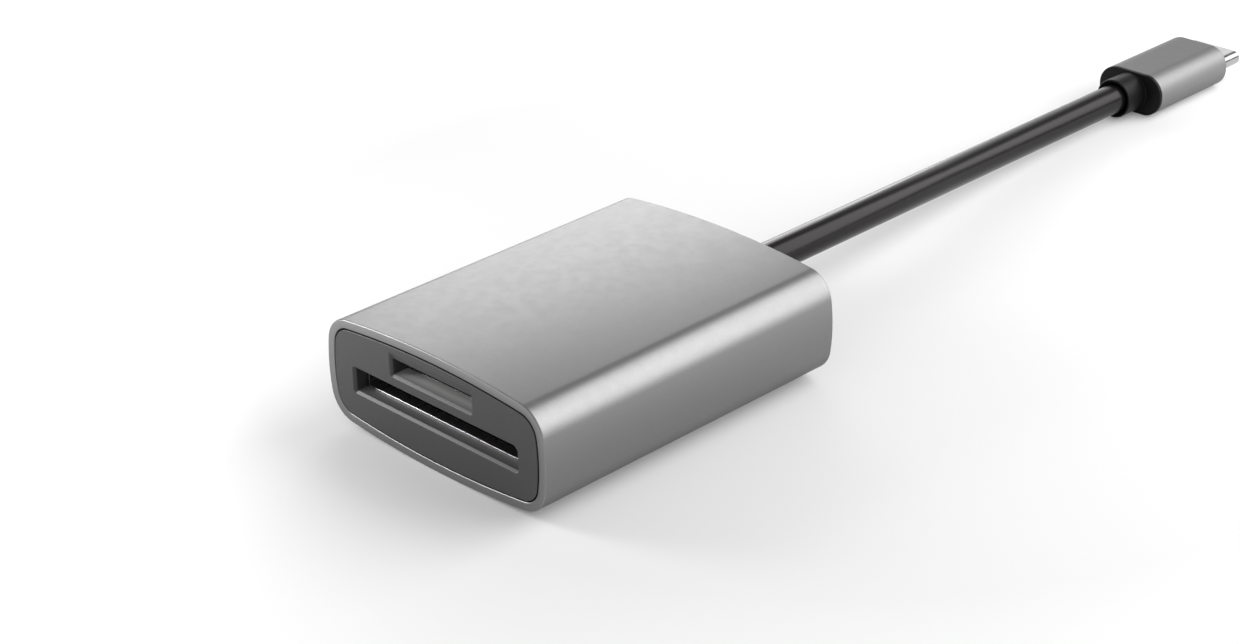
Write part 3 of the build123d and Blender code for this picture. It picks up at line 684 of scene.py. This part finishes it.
# %% [markdown]
# ## Metals inside
# The tongue is plated with bright nickel, the covers of the two sockets are rolled sheet, and the contacts
# are gilt. The covers are parts of the frame, so their own meshes stay as they are. A real sheet has no
# perfectly sharp edge, and the lip that shows in the large slot is bright because of that, so a weld and a
# bevel modifier break the edges.

# %% Make the metals inside
bright_nickel = new_finish("bright_nickel", (0.38, 0.38, 0.385), 0.2, metallic=1.0)
vary(bright_nickel, noise(bright_nickel, 3000, stretch=(1, 0.05, 1)), "Roughness", 0.16, 0.24)
dress(bright_nickel, tongue, nodes["tongue_latches"])

rolled_steel = new_finish("rolled_steel", (0.5, 0.5, 0.51), 0.3, metallic=1.0)
vary(rolled_steel, noise(rolled_steel, 2500, stretch=(1, 0.08, 1)), "Roughness", 0.25, 0.36)
dress(rolled_steel, nodes["large_socket_cover"], nodes["small_socket_cover"], nodes["crystal"])
weld_distance = 1e-7
for cover in (nodes["large_socket_cover"], nodes["small_socket_cover"]):
    weld = cover.modifiers.new("joined_edges", "WELD")
    weld.merge_threshold = weld_distance
    burr = cover.modifiers.new("broken_edges", "BEVEL")
    burr.width = 0.02 * MM
    burr.segments = 1
    burr.limit_method = "ANGLE"
    burr.angle_limit = radians(40)

contact_gold = new_finish("contact_gold", (0.83, 0.62, 0.26), 0.25, metallic=1.0)
vary(contact_gold, noise(contact_gold, 5000), "Roughness", 0.2, 0.3)
contacts = ("large_contacts", "small_contacts", "tongue_contacts_upper", "tongue_contacts_lower")
dress(contact_gold, *[nodes[name] for name in contacts])

# %% [markdown]
# ## The board and the small parts
# Little of the inside shows through the slots, but its parts are there when the reader is taken to pieces:
# a board with a green mask, chips of dark resin, capacitors of brown ceramic and pale wires. One flat
# colour each would do from afar. A little noise in each finish keeps them from looking printed from near
# by.

# %% Make the board and the small parts on it
solder_mask = new_finish("solder_mask", (0.02, 0.13, 0.06), 0.3, Coat_Weight=0.3)
tint(solder_mask, noise(solder_mask, 700, detail=3), (0.016, 0.11, 0.05), (0.024, 0.15, 0.07))
dress(solder_mask, nodes["circuit_board"], nodes["plug_board"])

chip_resin = new_finish("chip_resin", (0.02, 0.02, 0.022), 0.55)
tint(chip_resin, noise(chip_resin, 4000), (0.016, 0.016, 0.018), (0.026, 0.026, 0.028))
dress(chip_resin, nodes["controller_chip"], nodes["voltage_regulator"], nodes["chip_resistors"])

ceramic = new_finish("ceramic", (0.42, 0.31, 0.2), 0.5)
tint(ceramic, noise(ceramic, 3000), (0.38, 0.28, 0.18), (0.46, 0.34, 0.22))
dress(ceramic, nodes["chip_capacitors"])

core_cover = new_finish("core_cover", (0.6, 0.6, 0.58), 0.35)
vary(core_cover, noise(core_cover, 2000), "Roughness", 0.3, 0.4)
dress(core_cover, nodes["cable_cores"], nodes["plug_cores"])

# %% [markdown]
# ## Light
# A silky metal shows what stands around it. One broad lamp overhead would be simpler, but it would leave
# the metal flat, so each lamp is chosen by the surface that mirrors it. The bowed top mirrors a softbox low
# behind its left side. The rounded right-hand edge, the cable and the side of the plug mirror a larger one
# behind their right side. The lead-ins and the floors of the slots take their light from a small one near
# the face.


# %% Hang the lamps
def softbox(name, azimuth, elevation, distance, width, height, level, aim=(0, 0, 0.007), roll=0.0):
    """A rectangular lamp that faces a point, from a direction in degrees, with azimuth counted from X to Y.

    It is rolled about its own axis by roll degrees. Its watts are pi times its area times its face's level.
    """
    turn_to, rise = radians(azimuth), radians(elevation)
    way = Vector((np.cos(rise) * np.cos(turn_to), np.cos(rise) * np.sin(turn_to), np.sin(rise)))
    data = bpy.data.lights.new(name, "AREA")
    data.shape = "RECTANGLE"
    data.size = width
    data.size_y = height
    data.energy = np.pi * width * height * level
    lamp = bpy.data.objects.new(name, data)
    lamp.location = Vector(aim) + distance * way
    lamp.rotation_euler = (way.to_track_quat("Z", "Y") @ Quaternion((0, 0, 1), radians(roll))).to_euler()
    lamp.visible_camera = False
    bpy.context.scene.collection.objects.link(lamp)
    print(name, "gives", round(data.energy, 3), "W")


softbox(
    "back_left_lamp", azimuth=137, elevation=16.5, distance=0.237, width=0.135, height=0.135, level=3.25)
softbox(
    "back_right_lamp", azimuth=49.5, elevation=32.3, distance=0.27, width=0.33, height=0.273, level=3.25,
    roll=16)
softbox(
    "front_left_lamp", azimuth=213, elevation=28, distance=0.09, width=0.04, height=0.04, level=13.0,
    aim=(-0.014, -0.022, 0.007))

# %% [markdown]
# ## The room
# Where a surface mirrors no lamp, it mirrors the room. A picture of a studio could be wrapped round the
# scene, but two soft glows are enough and stay easy to change. The top of the plug mirrors the small one
# behind it. The broad one before the face keeps the metal from looking dark when the reader is seen from
# behind. The camera itself sees a white room.

# %% Fill the room
world = bpy.data.worlds.new("pale_room")
world.use_nodes = True
bpy.context.scene.world = world
room = world.node_tree
direction = room.nodes.new("ShaderNodeTexCoord").outputs["Generated"]
seen = room.nodes.new("ShaderNodeLightPath").outputs["Is Camera Ray"]


def glow_towards(way, edge, low, high):
    """A level that is low all round and grows to high with the cosine to a direction, from edge upwards."""
    cosine = compared(room, "DOT_PRODUCT", direction, Vector(way).normalized())
    return spread(room, cosine, edge, 1.0, low, high)


room_level = 0.3
behind_the_plug = glow_towards((-0.550, 0.812, 0.194), edge=0.9, low=room_level, high=1.8)
before_the_face = glow_towards((0.45, -0.85, 0.28), edge=0.0, low=0.0, high=0.35)
lit = combined(room, "ADD", behind_the_plug, before_the_face)
backdrop = room.nodes["Background"]
backdrop.inputs["Color"].default_value = (1, 1, 1, 1)
room.links.new(combined(room, "MAXIMUM", lit, seen), backdrop.inputs["Strength"])
print("room level", room_level)

# %% [markdown]
# ## The floor
# The picture has a white ground. More light would bleach the reader, so the floor is an ordinary pale one
# that adds just enough of its own glow, for the camera and for what shines, to come up to white where no
# shadow falls. That glow is weak near the reader, where the lamps reach, and stronger further out.

# %% Lay the floor
floor_half = 3.0
floor_drop = 0.02 * MM
floor_colour = 0.72
floor_glow = 0.1
far_glow = 0.75
glow_near, glow_far = 0.07, 0.2
glow_centre = (0, 0.04, 0)
floor_mesh = bpy.data.meshes.new("floor")
floor_corners = np.array([(-1, -1, 0), (1, -1, 0), (1, 1, 0), (-1, 1, 0)]) * floor_half - (0, 0, floor_drop)
floor_mesh.from_pydata(floor_corners, [], np.array([[0, 1, 2, 3]]))
floor = bpy.data.objects.new("floor", floor_mesh)
bpy.context.scene.collection.objects.link(floor)
pale = new_finish("pale_floor", (floor_colour,) * 3, 1.0, Specular_IOR_Level=0.0, Emission_Color=(1, 1, 1, 1))
tree = pale.node_tree
rays = tree.nodes.new("ShaderNodeLightPath").outputs
spot = tree.nodes.new("ShaderNodeTexCoord").outputs["Object"]
away = compared(tree, "DISTANCE", spot, glow_centre)
glow = spread(tree, away, glow_near, glow_far, floor_glow, far_glow)
shown = combined(tree, "MAXIMUM", rays["Is Camera Ray"], rays["Is Glossy Ray"])
shown = combined(tree, "MAXIMUM", shown, rays["Is Transmission Ray"])
shader = tree.nodes["Principled BSDF"]
tree.links.new(combined(tree, "MULTIPLY", shown, glow), shader.inputs["Emission Strength"])
dress(pale, floor)
bpy.context.scene.view_settings.view_transform = "Standard"
